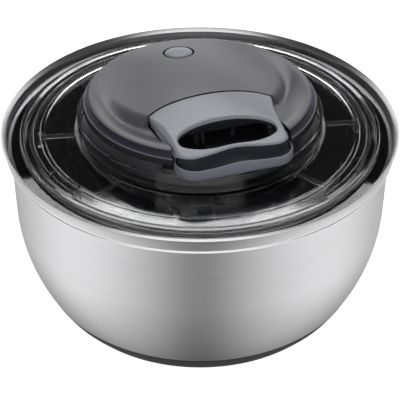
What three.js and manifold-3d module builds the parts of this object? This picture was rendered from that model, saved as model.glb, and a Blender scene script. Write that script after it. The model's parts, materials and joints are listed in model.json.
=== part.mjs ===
// Lever-operated salad spinner: steel bowl, slotted basket, clear lid with a gear train under a dark cover.
// Millimetres, +Z up, origin at the middle of the foot, lever towards -Y.
import * as THREE from 'three';
import Module from 'manifold-3d';

const wasm = await Module();
wasm.setup();

// ---- driving dimensions -------------------------------------------------
const RIM_R = 130;
const BOWL_H = 128;
const WALL_R = 124.7;
const SHEET = 1.0;
const FOOT_R = 101;
const FOOT_TOP_R = 111;
const FOOT_H = 15;
const BASKET_FLOOR_Z = 8.5;
const BASKET_TOP_Z = 117.6;
const DISC_TOP_Z = 121;
const LID_PLATE_Z = 122.4;
const LID_EDGE_R = 118;
const COLLAR_R = 80.3;
const COLLAR_TOP_Z = 136;
const CASE_R = 73.2;
const PLATE_R = 71.6;
const PLATE_Z = 133.8;
const PLATE_T = 2;
const COVER_R = 76;
const COVER_RIDGE_R = 70;
const COVER_EDGE_Z = 141;
const COVER_TOP_Z = 156;
const COVER_T = 1.8;
const SHELL_T = 1.8;
const HINGE_Y = -33;
const HINGE_Z = 149.2;
const MODULE = 1.25;
const PRESSURE = THREE.MathUtils.degToRad(20);
const SECTOR_R = 18;
const SMALL_TEETH = 12;
const BIG_TEETH = 36;
const SMALL_R = (MODULE * SMALL_TEETH) / 2;
const BIG_R = (MODULE * BIG_TEETH) / 2;
const STEP_X = -24.5;
const STEP_Y = Math.sqrt((SMALL_R + BIG_R) ** 2 - STEP_X ** 2);
const RACK_X = STEP_X + SMALL_R;
const RACK_Z = HINGE_Z - SECTOR_R;
const BUTTON_Y = 47;
const SHAFT_R = 4;
const RIB_COUNT = 8;
const RIB_TURN = THREE.MathUtils.degToRad(-13);
const SCREW_R = 62;
const RIGHT = Math.PI / 2;
const PITCH = Math.PI * MODULE;

// ---- materials ----------------------------------------------------------
function material(color, roughness, metalness, opacity = 1) {
  return new THREE.MeshStandardMaterial({ color, roughness, metalness, opacity, transparent: opacity < 1 });
}
const LOOK = {
  steel: () => material(0xc9cacb, 0.3, 1),
  pin: () => material(0xb4b6b8, 0.25, 1),
  rubber: () => material(0x1c1c1e, 0.85, 0),
  basket: () => material(0x26272b, 0.5, 0),
  clear: () => material(0xe6ecec, 0.08, 0, 0.3),
  dark: () => material(0x2a2a2d, 0.6, 0),
  cover: () => material(0x77777b, 0.42, 0),
  lever: () => material(0xa3a6ab, 0.4, 0),
  nylon: () => material(0xe4e0d4, 0.5, 0),
};

// ---- geometry helpers ---------------------------------------------------
function toManifold(geometry) {
  const pos = geometry.getAttribute('position');
  const index = geometry.index;
  const count = index ? index.count : pos.count;
  const seen = new Map();
  const verts = [];
  const weld = (i) => {
    const p = [pos.getX(i), pos.getY(i), pos.getZ(i)];
    const key = p.map((v) => Math.round(v * 1e4)).join();
    if (!seen.has(key)) {
      seen.set(key, verts.length / 3);
      verts.push(...p);
    }
    return seen.get(key);
  };
  const tris = [];
  for (let i = 0; i < count; i += 3) {
    const t = [0, 1, 2].map((k) => weld(index ? index.getX(i + k) : i + k));
    if (t[0] !== t[1] && t[1] !== t[2] && t[2] !== t[0]) tris.push(...t);
  }
  const volume = signedVolume(verts, tris);
  if (volume < 0) {
    for (let i = 0; i < tris.length; i += 3) {
      [tris[i + 1], tris[i + 2]] = [tris[i + 2], tris[i + 1]];
    }
  }
  const mesh = new wasm.Mesh({
    numProp: 3,
    vertProperties: new Float32Array(verts),
    triVerts: new Uint32Array(tris),
  });
  return new wasm.Manifold(mesh);
}

function signedVolume(verts, tris) {
  const p = (i) => new THREE.Vector3(verts[3 * i], verts[3 * i + 1], verts[3 * i + 2]);
  let sum = 0;
  for (let i = 0; i < tris.length; i += 3) {
    sum += p(tris[i]).dot(p(tris[i + 1]).cross(p(tris[i + 2])));
  }
  return sum / 6;
}

function toGeometry(solid) {
  const mesh = solid.getMesh();
  const geometry = new THREE.BufferGeometry();
  geometry.setAttribute('position', new THREE.Float32BufferAttribute(mesh.vertProperties, 3));
  geometry.setIndex(Array.from(mesh.triVerts));
  geometry.computeVertexNormals();
  return geometry;
}

function union(first, ...rest) {
  return rest.reduce((sum, s) => sum.add(s), first);
}

function cut(first, ...rest) {
  return rest.reduce((sum, s) => sum.subtract(s), first);
}

function lathe(profile, segments = 36) {
  const points = profile.map(([r, z]) => new THREE.Vector2(r, z));
  if (profile[0][0] > 0 || profile[profile.length - 1][0] > 0) points.push(points[0].clone());
  const geometry = new THREE.LatheGeometry(points, segments);
  geometry.rotateX(RIGHT);
  return toManifold(geometry);
}

function disc(r, z0, z1, segments = 24) {
  return lathe([[0, z0], [r, z0], [r, z1], [0, z1]], segments);
}

function ring(inner, outer, z0, z1, segments = 24) {
  return lathe([[inner, z0], [outer, z0], [outer, z1], [inner, z1]], segments);
}

function box(x0, x1, y0, y1, z0, z1) {
  const geometry = new THREE.BoxGeometry(x1 - x0, y1 - y0, z1 - z0);
  geometry.translate((x0 + x1) / 2, (y0 + y1) / 2, (z0 + z1) / 2);
  return toManifold(geometry);
}

function prism(points, z0, z1) {
  const shape = new THREE.Shape(points.map(([x, y]) => new THREE.Vector2(x, y)));
  const geometry = new THREE.ExtrudeGeometry(shape, { depth: z1 - z0, bevelEnabled: false });
  geometry.translate(0, 0, z0);
  return toManifold(geometry);
}

function tube(points, radius, steps, sides) {
  const circle = new THREE.Shape();
  circle.absarc(0, 0, radius, 0, 2 * Math.PI);
  const extrudePath = new THREE.CatmullRomCurve3(points);
  return new THREE.ExtrudeGeometry(circle, { steps, curveSegments: sides, extrudePath, bevelEnabled: false });
}

function moved(solid, x, y, z = 0) {
  return solid.translate([x, y, z]);
}

function turned(solid, angle) {
  return solid.rotate([0, 0, THREE.MathUtils.radToDeg(angle)]);
}

function alongX(solid) {
  return solid.rotate([0, 90, 0]);
}

function smooth(value) {
  const t = THREE.MathUtils.clamp(value, 0, 1);
  return t * t * (3 - 2 * t);
}

function span(from, to, count) {
  return Array.from({ length: count + 1 }, (_, i) => from + ((to - from) * i) / count);
}

// Closed skin of revolution whose height may vary around the axis; stations run from axis to axis.
function skin(stations, segments) {
  const verts = [];
  const rows = [];
  for (const station of stations) {
    const row = [];
    const steps = station.r === 0 ? 1 : segments;
    for (let i = 0; i < steps; i += 1) {
      const a = (2 * Math.PI * i) / segments;
      const x = station.r * Math.cos(a);
      const y = station.r * Math.sin(a);
      row.push(verts.length / 3);
      verts.push(x, y, station.z(x, y));
    }
    rows.push(row);
  }
  const tris = [];
  for (let j = 0; j + 1 < rows.length; j += 1) {
    for (let i = 0; i < segments; i += 1) {
      const k = (i + 1) % segments;
      const at = (row, n) => row[row.length === 1 ? 0 : n];
      tris.push(at(rows[j], i), at(rows[j + 1], i), at(rows[j + 1], k));
      tris.push(at(rows[j], i), at(rows[j + 1], k), at(rows[j], k));
    }
  }
  const geometry = new THREE.BufferGeometry();
  geometry.setAttribute('position', new THREE.Float32BufferAttribute(verts, 3));
  geometry.setIndex(tris);
  return toManifold(geometry);
}

// Block filling everything below a height field, down to a flat floor.
function mound(height, half, yFrom, yTo, cells, floor) {
  const xs = span(-half, half, cells);
  const ys = span(yFrom, yTo, cells);
  const verts = [];
  const n = cells + 1;
  for (const y of ys) {
    for (const x of xs) verts.push(x, y, height(x, y));
  }
  for (const y of ys) {
    for (const x of xs) verts.push(x, y, floor);
  }
  const tris = [];
  const quad = (a, b, c, d) => tris.push(a, b, c, a, c, d);
  for (let j = 0; j < cells; j += 1) {
    for (let i = 0; i < cells; i += 1) {
      const a = j * n + i;
      quad(a, a + 1, a + 1 + n, a + n);
      quad(a + n * n, a + n + n * n, a + 1 + n + n * n, a + 1 + n * n);
    }
  }
  for (let i = 0; i < cells; i += 1) {
    quad(i, i + n * n, i + 1 + n * n, i + 1);
    quad(cells * n + i, cells * n + i + 1, cells * n + i + 1 + n * n, cells * n + i + n * n);
    quad(i * n, (i + 1) * n, (i + 1) * n + n * n, i * n + n * n);
    quad(i * n + cells, i * n + cells + n * n, (i + 1) * n + cells + n * n, (i + 1) * n + cells);
  }
  const geometry = new THREE.BufferGeometry();
  geometry.setAttribute('position', new THREE.Float32BufferAttribute(verts, 3));
  geometry.setIndex(tris);
  return toManifold(geometry);
}

// ---- surfaces shared by cover and lever ---------------------------------
// Height of the unbroken dome over the point (x, y).
function domeZ(x, y) {
  const q = (x * x + y * y) / COVER_RIDGE_R ** 2;
  return COVER_TOP_Z - 6.5 * q - 6 * (x / 41) ** 2 * Math.max(0, 1 - q);
}

// Half width of the lever at the distance s in front of the axis.
function leverHalf(s) {
  return 36 + 5 * THREE.MathUtils.clamp((66 - s) / 45.6, 0, 1) ** 1.6;
}

// Cover height: the dome with a dished shoulder on each side of the lever.
function coverZ(x, y) {
  const s = -y;
  const crease = s > 20 ? leverHalf(s) - 6 : 41 + 17 * (1 - Math.exp((s - 20) / 22));
  const blend = 4 + 9 * smooth((20 - s) / 30);
  const side = smooth((Math.abs(x) - crease) / blend) * smooth((s + 34) / 34);
  const inside = smooth((COVER_RIDGE_R - Math.hypot(x, y)) / 14);
  return domeZ(x, y) - 7 * side * inside;
}

// The points of a right half, given as [x, s] from the rear to the front, and their mirror image.
function mirrored(half) {
  const left = half.slice().reverse().map(([x, s]) => [-x, s]);
  return [...half, ...left].map(([x, s]) => [x, -s]);
}

// Plan outline of the lever, grown by gap: bowed rear edge, round front corners, a dip in the front bar.
function leverOutline(gap, rearGap = gap) {
  const half = [];
  for (const x of [5, 15, 25, 31, 36]) half.push([x, rearEdge(x) - rearGap]);
  half.push([41 + gap, rearEdge(41)]);
  for (const s of [30, 44, 56]) half.push([leverHalf(s) + gap, s]);
  for (const a of span(0, RIGHT, 4)) {
    half.push([25 + (11 + gap) * Math.cos(a), 63 + (9.7 + gap) * Math.sin(a)]);
  }
  for (const x of [15, 8, 3]) half.push([x, barFront(x) + gap]);
  return mirrored(half);
}

// Distance in front of the axis of the lever's rear edge, and of the front bar's front edge.
function rearEdge(x) {
  return 15.4 + 6.4 * (Math.abs(x) / 41) ** 5;
}

function barFront(x) {
  return 72.7 - 3.5 * Math.exp(-((x / 10) ** 2));
}

// Plan outline of the nose under the front bar, which stands further forward than the bar.
function noseOutline(gap) {
  const half = [[36.4 + gap, 50], [36.4 + gap, 60]];
  for (const a of span(0, RIGHT, 6)) {
    half.push([24 + (14 + gap) * Math.cos(a), 66 + (14.4 + gap) * Math.sin(a)]);
  }
  return mirrored(half);
}

// Finger opening: a flattened oval with a dip in its front edge.
function oval(gap, z0, z1) {
  const points = [];
  const bent = (v, power) => Math.sign(v) * Math.abs(v) ** power;
  for (const a of span(0, 2 * Math.PI, 28).slice(0, -1)) {
    const x = (31.3 + gap) * bent(Math.cos(a), 0.8);
    const dip = Math.sin(a) > 0 ? 1.4 * Math.exp(-((x / 11) ** 2)) : 0;
    points.push([x, -(55 + (12.6 + gap) * bent(Math.sin(a), 0.85) - dip)]);
  }
  return prism(points, z0, z1);
}

// ---- gears --------------------------------------------------------------
const ADDENDUM = 1.1;
const DEDENDUM = 1.55;
const BACKLASH = 0.3;

// Half of a tooth's angle at radius r, for an involute tooth of pitch radius R.
function toothHalf(r, R) {
  const base = R * Math.cos(PRESSURE);
  const inv = (a) => Math.tan(a) - a;
  const at = r <= base ? 0 : Math.acos(base / r);
  return (PITCH / 2 - BACKLASH) / (2 * R) + inv(PRESSURE) - inv(at);
}

// One tooth of a gear, as points from its trailing root to its leading root.
function toothPoints(R, centre) {
  const radii = R > 20 ? [R - DEDENDUM, R + ADDENDUM] : [R - DEDENDUM, R, R + ADDENDUM];
  const side = radii.map((r) => [r, toothHalf(r, R)]);
  const trail = side.map(([r, h]) => [r, centre - h]);
  const lead = side.slice().reverse().map(([r, h]) => [r, centre + h]);
  return [...trail, ...lead].map(([r, a]) => [r * Math.cos(a), r * Math.sin(a)]);
}

function gear(teeth, z0, z1, phase) {
  const R = (MODULE * teeth) / 2;
  const points = [];
  for (let i = 0; i < teeth; i += 1) points.push(...toothPoints(R, phase + (2 * Math.PI * i) / teeth));
  return prism(points, z0, z1);
}

// Straight rack in the (along, height) plane, pitch line at height 0, a tooth space centred on phase.
function rackPoints(from, to, phase, depth) {
  const slope = Math.tan(PRESSURE);
  const half = PITCH / 4 - BACKLASH / 2;
  const points = [[from, -depth], [to, -depth], [to, -DEDENDUM]];
  const first = Math.ceil((from - phase) / PITCH);
  const last = Math.floor((to - phase) / PITCH) - 1;
  for (let i = last; i >= first; i -= 1) {
    const c = phase + (i + 0.5) * PITCH;
    points.push([c + half + slope * DEDENDUM, -DEDENDUM], [c + half - slope * ADDENDUM, ADDENDUM]);
    points.push([c - half + slope * ADDENDUM, ADDENDUM], [c - half - slope * DEDENDUM, -DEDENDUM]);
  }
  points.push([from, -DEDENDUM]);
  return points;
}

// ---- bowl ---------------------------------------------------------------
function bowl() {
  const outer = [
    [0, 1.8], [92, 1.8], [98.5, 4], [108.2, 14.9], [FOOT_TOP_R, 15.4], [118, 32], [123, 52],
    [WALL_R, 72], [WALL_R, 116.4], [127.3, 117.5], [128, 122], [RIM_R, 126.6], [129.7, BOWL_H],
  ];
  const inner = [
    [127.6, BOWL_H - 0.4], [126.7, 118.8], [WALL_R - SHEET, 117.6], [WALL_R - SHEET, 72], [122, 52.3],
    [117, 32.4], [110.1, 16.4], [107.2, 15.6], [97.8, 5], [91.8, 2.8], [0, 2.8],
  ];
  return lathe([...outer, ...inner], 44);
}

function baseRing() {
  return lathe([
    [90, 0], [FOOT_R, 0], [FOOT_TOP_R, FOOT_H], [108.6, 14.7], [98.9, 3.6], [92.2, 1.4],
    [90, 1.4],
  ], 44);
}

function pivotPin() {
  return lathe([[0, 3.1], [12, 3.1], [12, 4.6], [4, 4.9], [4, 12.6], [2.6, 14], [0, 14]], 20);
}

function pivotBush() {
  return lathe([
    [0, 14.4], [4.1, 14.4], [4.1, 5.2], [14, 5.2], [14, 6.6], [8, 6.8], [8, 15.4], [7.4, 16], [0, 16],
  ], 20);
}

// ---- basket -------------------------------------------------------------
function basket() {
  const shell = lathe([
    [0, 16.5], [8.4, 16.5], [8.4, 7.2], [11, 7.2], [12.6, BASKET_FLOOR_Z], [94, BASKET_FLOOR_Z], [99.5, 11.5],
    [101, 16], [110.6, 114.6], [113, 115.2], [113, BASKET_TOP_Z], [108.8, BASKET_TOP_Z],
    [99.1, 17], [98, 13], [93.4, 10.5], [13.6, 10.5], [11.5, 18.5], [0, 18.5],
  ]);
  const cuts = [];
  for (let i = 0; i < 16; i += 1) {
    const a = (2 * Math.PI * i) / 16;
    for (const z of [26, 67]) cuts.push(turned(box(90, 118, -3, 3, z, z + 34), a));
  }
  for (let i = 0; i < 12; i += 1) {
    cuts.push(turned(box(40, 88, -2.5, 2.5, 5, 12), (2 * Math.PI * i) / 12));
  }
  const dogs = [];
  for (let i = 0; i < RIB_COUNT; i += 1) {
    const a = RIB_TURN - RIGHT + (2 * Math.PI * (i + 0.5)) / RIB_COUNT;
    dogs.push(turned(box(103, 109, -1.2, 1.2, 107, 116.6), a));
  }
  return union(cut(shell, ...cuts), ...dogs);
}

// ---- lid ----------------------------------------------------------------
function lid() {
  return lathe([
    [70.2, LID_PLATE_Z], [115.8, LID_PLATE_Z], [115.8, 119.3], [125.8, 119.3], [125.8, 120.6], [LID_EDGE_R, 120.9],
    [LID_EDGE_R, 124.5], [117.4, 125], [115, 125], [112.6, 124.4], [105, 124.4], [102.6, 124],
    [82.4, 124], [COLLAR_R, 125.4], [COLLAR_R, COLLAR_TOP_Z], [78.5, COLLAR_TOP_Z], [78.5, 124], [70.2, 124],
  ], 44);
}

function driveDisc() {
  const body = lathe([
    [4.2, 103.6], [9, 103.6], [10.4, 106], [70.4, 106], [73, 108], [73, 119], [111.5, 119], [111.5, DISC_TOP_Z],
    [71.2, DISC_TOP_Z], [71.2, 108.6], [69.8, 107.7], [4.2, 107.7],
  ]);
  const ribs = [];
  for (let i = 0; i < RIB_COUNT; i += 1) {
    const a = RIB_TURN - RIGHT + (2 * Math.PI * i) / RIB_COUNT;
    ribs.push(turned(box(72.4, 107, -1.1, 1.1, 116.2, 119.6), a));
    ribs.push(turned(box(103.4, 107, -3.4, 3.4, 111, 119.6), a));
  }
  return union(body, ...ribs);
}

// ---- gear case and plate ------------------------------------------------
function screwSpot(i) {
  const a = Math.PI / 4 + i * RIGHT;
  return [SCREW_R * Math.cos(a), SCREW_R * Math.sin(a)];
}

function gearCase() {
  const body = lathe([
    [6.6, 108.2], [13.5, 108.2], [14.5, 112.5], [66, 112.5], [69.4, 115.5], [69.4, 124.3], [77.9, 124.3],
    [77.9, 126], [CASE_R, 126], [CASE_R, 142], [72, 142], [72, 126], [67.8, 125], [67.8, 116],
    [65.4, 114.2], [12.6, 114.2], [12.4, 112.4], [6.6, 112.4],
  ], 32);
  const bosses = [0, 1, 2, 3].map((i) => moved(disc(4, 113.6, 133.5, 12), ...screwSpot(i)));
  const bores = [0, 1, 2, 3].map((i) => moved(disc(1.7, 122, 134, 12), ...screwSpot(i)));
  const axleBoss = moved(disc(4.4, 113.6, 115.8, 16), STEP_X, STEP_Y);
  const axleBore = moved(disc(2.1, 112.9, 117, 16), STEP_X, STEP_Y);
  const padHole = moved(disc(6.5, 112, 115, 20), 0, BUTTON_Y);
  const notch = box(-43, 43, -80, -45, 135.9, 143);
  return cut(union(body, axleBoss, ...bosses), axleBore, padHole, notch, ...bores);
}

function hingePost(x) {
  const y = HINGE_Y;
  const column = box(x - 1.4, x + 1.4, y - 4, y + 4, PLATE_Z + 1, HINGE_Z - 1);
  const eye = moved(alongX(disc(2.8, -1.4, 1.4, 16)), x, y, HINGE_Z);
  const taper = moved(alongX(prism([[-1.4, -2.8], [4, -4], [4, 4], [-1.4, 2.8]], -1.4, 1.4)), x, y, HINGE_Z);
  return union(column, eye, taper);
}

function mechanismPlate() {
  const plate = disc(PLATE_R, PLATE_Z, PLATE_Z + PLATE_T, 32);
  const bushBoss = disc(7.6, 127.2, PLATE_Z + 1, 20);
  const axleBoss = moved(disc(4.4, 130.9, PLATE_Z + 1, 16), STEP_X, STEP_Y);
  const solid = union(plate, bushBoss, axleBoss, hingePost(-10), hingePost(10));
  const pinBore = moved(alongX(disc(1.68, -20, 20, 16)), 0, HINGE_Y, HINGE_Z);
  const slot = box(-17.4, -11.6, HINGE_Y - 15, HINGE_Y + 15, PLATE_Z - 1, PLATE_Z + PLATE_T + 1);
  const rodHole = moved(disc(3.1, PLATE_Z - 1, PLATE_Z + 4, 16), 0, BUTTON_Y);
  const holes = [0, 1, 2, 3].map((i) => moved(disc(1.9, PLATE_Z - 1, PLATE_Z + 4, 12), ...screwSpot(i)));
  const axleBore = moved(disc(2.1, 130, 132.6, 16), STEP_X, STEP_Y);
  return cut(solid, disc(5.2, 127, 137, 20), pinBore, slot, rodHole, axleBore, ...holes);
}

// ---- cover and lever ----------------------------------------------------
function housingCover() {
  const radii = [20, 34, 44, 51, 57, 62, 66.5, COVER_RIDGE_R];
  const centre = [{ r: 0, z: () => COVER_TOP_Z }];
  const top = radii.map((r) => ({ r, z: coverZ }));
  const edge = [[73, 148.4], [75.2, 145.3], [COVER_R, COVER_EDGE_Z], [COVER_R, 140.6], [73.9, 140.6]];
  const inner = [[73.8, 143.4], [72.4, 145.8]];
  const skirt = [...edge, ...inner].map(([r, z]) => ({ r, z: () => z }));
  const under = radii.slice().reverse().map((r) => ({ r, z: (x, y) => coverZ(x, y) - COVER_T }));
  const floor = [{ r: 0, z: () => COVER_TOP_Z - COVER_T }];
  const body = skin([...centre, ...top, ...skirt, ...under, ...floor], 36);
  const well = union(prism(leverOutline(1, 0.9), 130, 170), box(-39, 39, -90, -60, 130, 170));
  const buttonHole = moved(disc(10.4, 140, 165, 28), 0, BUTTON_Y);
  return cut(body, well, buttonHole);
}

function leverBlock(drop, gap, z0) {
  const under = mound((x, y) => domeZ(x, y) - drop, 48, -84, 4, 8, 120);
  return under.intersect(prism(leverOutline(gap), z0, 170));
}

function lever() {
  const hollow = leverBlock(SHELL_T, -SHELL_T, 125);
  const front = box(-50, 50, -90, -64, 125, 147);
  const rear = leverBlock(SHELL_T, 1, 125).intersect(box(-50, 50, HINGE_Y + 0.6, 5, 120, 170));
  return cut(leverBlock(0, 0, 145.2), hollow, front, rear, oval(0, 130, 170));
}

function leverLug(x) {
  const web = box(x - 1.4, x + 1.4, HINGE_Y - 7, HINGE_Y + 2.9, HINGE_Z, 158);
  const eye = moved(alongX(disc(2.9, -1.4, 1.4, 16)), x, HINGE_Y, HINGE_Z);
  return union(web, eye);
}

function leverBase() {
  const lip = cut(prism(noseOutline(0), 137, 142.8), prism(noseOutline(-2.2), 130, 150));
  const ledge = cut(prism(noseOutline(-1), 141, 142.8), prism(leverOutline(-4.6), 130, 160));
  const nose = union(lip, ledge).intersect(box(-60, 60, -90, -56, 130, 150));
  const rail = cut(prism(leverOutline(-2.2), 143.6, 152), prism(leverOutline(-4.6), 130, 160));
  const sill = cut(prism(leverOutline(-0.4), 143.2, 144.9), prism(leverOutline(-4.6), 130, 160));
  const joint = cut(prism(leverOutline(-2.8), 142, 145), prism(leverOutline(-4.6), 130, 160));
  const neck = joint.intersect(box(-60, 60, -90, -56, 130, 150));
  const backWall = box(-36, 36, HINGE_Y - 7.4, HINGE_Y - 5.6, 143.6, 158);
  const middle = box(-33, 33, HINGE_Y - 5.6, 20, 120, 170);
  const behind = box(-60, 60, -23.6, 20, 120, 170);
  const shell = cut(union(nose, rail, sill, neck), middle, behind);
  const body = union(shell, backWall, leverLug(-6.8), leverLug(6.8));
  const roof = mound((x, y) => domeZ(x, y) - SHELL_T - 0.3, 48, -84, 4, 8, 120);
  const pinBore = moved(alongX(disc(1.68, -20, 20, 16)), 0, HINGE_Y, HINGE_Z);
  return cut(body.intersect(roof), pinBore, oval(0.6, 130, 170));
}

// ---- mechanism ----------------------------------------------------------
function hingePin() {
  return moved(alongX(disc(1.6, -18, 18, 16)), 0, HINGE_Y, HINGE_Z);
}

// Sector in the Y-Z plane on the hinge axis; teeth from below the axis round to the rear.
function sectorGear() {
  const step = PITCH / SECTOR_R;
  const points = [];
  for (let i = -1; i <= 5; i += 1) points.push(...toothPoints(SECTOR_R, i * step));
  const hub = disc(2.7, 0, 4, 16);
  const first = -1.5 * step;
  const last = 5.5 * step;
  const inner = SECTOR_R - DEDENDUM;
  const edge = (a, r) => [r * Math.cos(a), r * Math.sin(a)];
  const blade = prism([...points, edge(last, inner), [0, 0], edge(first, inner)], 0, 4);
  const tab = prism([[-1.8, -5], [1.2, -5], [1.2, 0], [-1.8, 0]], 0, 4);
  const flat = box(-4, -2.15, -6, 4, -1, 5);
  const plate = cut(union(blade, hub, tab), disc(1.68, -1, 6, 16), flat);
  return plate;
}

function placeSector(solid) {
  // local x points down, local y points to the rear
  const upright = solid.rotate([0, 90, 0]);
  return moved(upright, -16.4, HINGE_Y, HINGE_Z);
}

function rackSlider() {
  const topFrom = HINGE_Y - 5.5;
  const topTo = HINGE_Y + 23;
  const upper = prism(rackPoints(topFrom, topTo, HINGE_Y, 3), 0, 4);
  const upright = moved(upper.rotate([90, 0, 0]).rotate([0, 0, 90]), -16.4, 0, RACK_Z);
  const sideFrom = STEP_Y - 4.5;
  const sideTo = STEP_Y + 23;
  const side = prism(rackPoints(sideFrom, sideTo, STEP_Y, 5.2), 0, 4.4);
  const flat = moved(side.rotate([0, 0, 90]), RACK_X, 0, 124.9);
  const bar = box(-15.4, -11.8, HINGE_Y - 5.5, sideTo, 124.9, RACK_Z - DEDENDUM - 0.4);
  const foot = box(-16.4, -12.4, topFrom, topTo, RACK_Z - 3.2, RACK_Z - DEDENDUM);
  return union(bar, upright, flat, foot);
}

function stepGear() {
  const big = gear(BIG_TEETH, 119.5, 123.6, Math.atan2(-STEP_Y, -STEP_X));
  const small = gear(SMALL_TEETH, 123.4, 130.3, 0);
  const hub = disc(5, 116.2, 119.7, 20);
  return cut(union(big, small, hub), disc(2.08, 110, 135, 16));
}

function drivePinion() {
  const teeth = gear(SMALL_TEETH, 118.2, 124.3, Math.atan2(STEP_Y, STEP_X) + Math.PI / SMALL_TEETH);
  const drum = disc(11.2, 112.8, 118.4, 28);
  const hub = disc(5.6, 124.1, 126.8, 20);
  const pockets = [0, 1, 2].map((i) => {
    const room = moved(disc(2.5, 112, 117.8, 16), 6.3, 0);
    const throat = box(3, 6.3, -2.2, 2.2, 112, 117.8);
    return turned(union(room, throat), (2 * Math.PI * i) / 3 + 0.5);
  });
  return cut(union(teeth, drum, hub), disc(SHAFT_R + 0.08, 110, 130, 24), ...pockets);
}

function driveShaft() {
  return lathe([
    [0, 112], [1.5, 112], [1.5, 103.9], [SHAFT_R, 103.9], [SHAFT_R, 127], [3, 127], [3, 136.2], [2.4, 136.8],
    [0, 136.8],
  ], 24);
}

// ---- springs ------------------------------------------------------------
function coil(radius, turns, length, steps) {
  const points = [];
  for (let i = 0; i <= steps; i += 1) {
    const a = (2 * Math.PI * turns * i) / steps;
    points.push(new THREE.Vector3(radius * Math.cos(a), radius * Math.sin(a), (length * i) / steps));
  }
  return points;
}

function buttonSpring() {
  return toManifold(tube(coil(5.2, 4, 12.6, 36), 0.5, 36, 2));
}

function leverSpring() {
  const points = coil(2.7, 4, 7, 36).map((p) => new THREE.Vector3(p.z - 3.5, p.x, p.y));
  const legs = [new THREE.Vector3(-3.5, -4.9, -3.1), new THREE.Vector3(-3.5, -2.5, -2.9)];
  const tail = [new THREE.Vector3(3.5, -2.5, -2.9), new THREE.Vector3(3.5, -4.9, -3.1)];
  const middle = points.map((p) => new THREE.Vector3(p.x, p.z, -p.y));
  return toManifold(tube([...legs, ...middle, ...tail], 0.42, 38, 2));
}

function screw(head, top, shank, length) {
  return lathe([[0, top - length], [shank, top - length], [shank, top], [head, top], [head, top + 1.5],
    [head - 0.6, top + 2], [0, top + 2]], 12);
}

// ---- assembly -----------------------------------------------------------
const group = new THREE.Group();
group.name = 'salad_spinner';

function add(name, solid, look, x = 0, y = 0, z = 0, turn = 0) {
  const mesh = new THREE.Mesh(toGeometry(solid), look());
  mesh.name = name;
  mesh.position.set(x, y, z);
  mesh.rotation.z = turn;
  group.add(mesh);
}

add('bowl', bowl(), LOOK.steel);
add('base_ring', baseRing(), LOOK.rubber);
add('pivot_pin', pivotPin(), LOOK.pin);
add('pivot_bush', pivotBush(), LOOK.nylon);
add('basket', basket(), LOOK.basket);
add('lid', lid(), LOOK.clear);
add('gear_case', gearCase(), LOOK.dark);
add('mechanism_plate', mechanismPlate(), LOOK.dark);
add('housing_cover', housingCover(), LOOK.cover);
add('lever', lever(), LOOK.lever);
add('lever_base', leverBase(), LOOK.lever);
add('hinge_pin', hingePin(), LOOK.pin);
add('sector_gear', placeSector(sectorGear()), LOOK.nylon);
add('rack_slider', rackSlider(), LOOK.nylon);
add('step_gear', stepGear(), LOOK.nylon, STEP_X, STEP_Y);
add('step_gear_axle', disc(2, 113.2, 132.4, 16), LOOK.pin, STEP_X, STEP_Y);
add('drive_pinion', drivePinion(), LOOK.nylon);
for (let i = 0; i < 3; i += 1) {
  const a = (2 * Math.PI * i) / 3 + 0.5;
  add(`clutch_roller_${i + 1}`, disc(1.95, 113.1, 117.5, 16), LOOK.pin, 6.15 * Math.cos(a), 6.15 * Math.sin(a));
}
add('drive_shaft', driveShaft(), LOOK.pin);
add('upper_bush', ring(3.08, 5.05, 127.4, 135.6, 20), LOOK.nylon);
add('lower_bush', ring(4.08, 6.4, 108.4, 112.3, 24), LOOK.nylon);
add('retaining_ring', ring(3.1, 5.4, 136, 136.7, 20), LOOK.pin);
add('drive_disc', driveDisc(), LOOK.clear);
add('disc_screw', lathe([[0, 101.6], [5.4, 101.6], [6.2, 102.2], [6.2, 103.3], [1.4, 103.3], [1.4, 111], [0, 111]], 16),
  LOOK.pin);
add('stop_button', lathe([
  [0, 150.6], [7.6, 150.2], [7.6, 146.4], [11.2, 146.4], [11.2, 147.8], [9.5, 148], [9.5, 151.8], [8.7, 152.8],
  [5, 153.6], [0, 153.9],
], 28), LOOK.lever, 0, BUTTON_Y);
add('brake_rod', lathe([
  [0, 114.4], [5, 114.4], [5, 115.6], [2.6, 116], [2.6, 150], [0, 150],
], 16), LOOK.dark, 0, BUTTON_Y);
add('brake_pad', disc(6, 111, 114.1, 20), LOOK.rubber, 0, BUTTON_Y);
add('button_spring', buttonSpring(), LOOK.pin, 0, BUTTON_Y, 136.4);
add('lever_spring', leverSpring(), LOOK.pin, 0, HINGE_Y, HINGE_Z);
for (let i = 0; i < 4; i += 1) {
  add(`plate_screw_${i + 1}`, screw(3.2, PLATE_Z + PLATE_T + 0.2, 1.5, 9), LOOK.pin, ...screwSpot(i));
}

export default group;
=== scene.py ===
"""Looks for the lever-operated salad spinner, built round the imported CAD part.

Shapes are written in millimetres and turned into metres when a mesh is made.
x and y are the part frame's; s is the distance in front of the axis, so y = -s.
"""

import json
import math

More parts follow.
